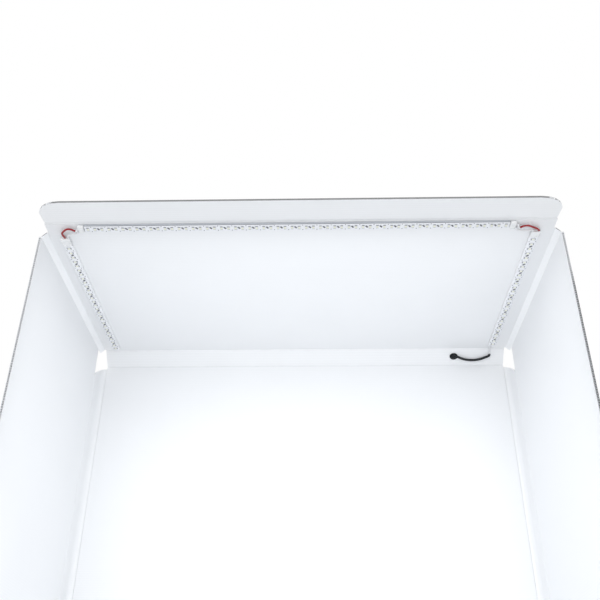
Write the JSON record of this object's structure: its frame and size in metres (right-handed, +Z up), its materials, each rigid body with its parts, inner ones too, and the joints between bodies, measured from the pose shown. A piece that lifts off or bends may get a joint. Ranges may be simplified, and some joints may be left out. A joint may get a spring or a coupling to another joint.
{
  "type": "folding photo light box",
  "caption": "Folding photo light box of white twin-wall sheet with LED strips under its ceiling, a front flap, folding side walls and floor, and a supply lead.",
  "frame": {"origin": "on the table, under the middle of the box's width and of its whole depth", "axes": "+Z up, +X to the right seen from the open front, +Y from the open front to the back wall"},
  "size_m": [0.616, 0.4204, 0.6068],
  "materials": {
    "white_sheet": "satin twin-wall sheet",
    "strip_board": "white solder mask",
    "foam_tape": "matte grey foam",
    "white_glue": "smooth set glue",
    "red_wire": "satin insulation",
    "white_wire": "satin insulation",
    "black_lead": "satin jacket",
    "black_rubber": "matte moulding",
    "plated_shell": "plated"
  },
  "bodies": {
    "back": {"back_wall": "white_sheet", "ceiling_spine": "white_sheet", "floor_spine": "white_sheet", "left_corner_spine": "white_sheet", "right_corner_spine": "white_sheet", "cable_gland": "black_rubber", "inner_lead": "black_lead", "outer_lead": "black_lead", "lead_coil": "black_lead", "plug_strain_relief": "black_rubber", "plug_body": "black_rubber", "plug_shell": "plated_shell", "plug_tongue": "white_wire"},
    "ceiling": {"ceiling_panel": "white_sheet", "front_strip_tape": "foam_tape", "front_led_strip": "strip_board", "left_strip_tape": "foam_tape", "left_led_strip": "strip_board", "right_strip_tape": "foam_tape", "right_led_strip": "strip_board", "front_strip_left_cap": "white_glue", "front_strip_right_cap": "white_glue", "left_strip_front_cap": "white_glue", "right_strip_front_cap": "white_glue", "left_wire_sleeve": "white_wire", "right_wire_sleeve": "white_wire", "left_red_jumper": "red_wire", "right_red_jumper": "red_wire", "left_white_jumper": "white_wire", "right_white_jumper": "white_wire", "feed_wire_plus": "white_wire", "feed_wire_minus": "white_wire"},
    "left_flange": {"left_ceiling_flange": "white_sheet"},
    "right_flange": {"right_ceiling_flange": "white_sheet"},
    "flap": {"front_flap": "white_sheet"},
    "left_wall": {"left_side_wall": "white_sheet"},
    "right_wall": {"right_side_wall": "white_sheet"},
    "floor": {"floor_panel": "white_sheet"}
  },
  "joints": [
    {"name": "ceiling_fold", "type": "hinge", "parent": "back", "child": "ceiling", "pos_m": [0, 0.15358, 0.5985], "axis": [-1, 0, 0], "range_deg": [-90, 90], "deforming": ["feed_wire_plus", "feed_wire_minus"]},
    {"name": "flap_fold", "type": "hinge", "parent": "ceiling", "child": "flap", "pos_m": [0, -0.14642, 0.5985], "axis": [1, 0, 0], "range_deg": [-78, 102]},
    {"name": "left_flange_fold", "type": "hinge", "parent": "ceiling", "child": "left_flange", "pos_m": [-0.2985, 0, 0.5976], "axis": [0, 1, 0], "range_deg": [-45, 45]},
    {"name": "right_flange_fold", "type": "hinge", "parent": "ceiling", "child": "right_flange", "pos_m": [0.2985, 0, 0.5976], "axis": [0, -1, 0], "range_deg": [-45, 45]},
    {"name": "left_wall_fold", "type": "hinge", "parent": "back", "child": "left_wall", "pos_m": [-0.3065, 0.14158, 0], "axis": [0, 0, 1], "range_deg": [-90, 90]},
    {"name": "right_wall_fold", "type": "hinge", "parent": "back", "child": "right_wall", "pos_m": [0.3065, 0.14158, 0], "axis": [0, 0, -1], "range_deg": [-90, 90]},
    {"name": "floor_fold", "type": "hinge", "parent": "back", "child": "floor", "pos_m": [0, 0.15358, 0.0015], "axis": [-1, 0, 0], "range_deg": [0, 90]}
  ]
}
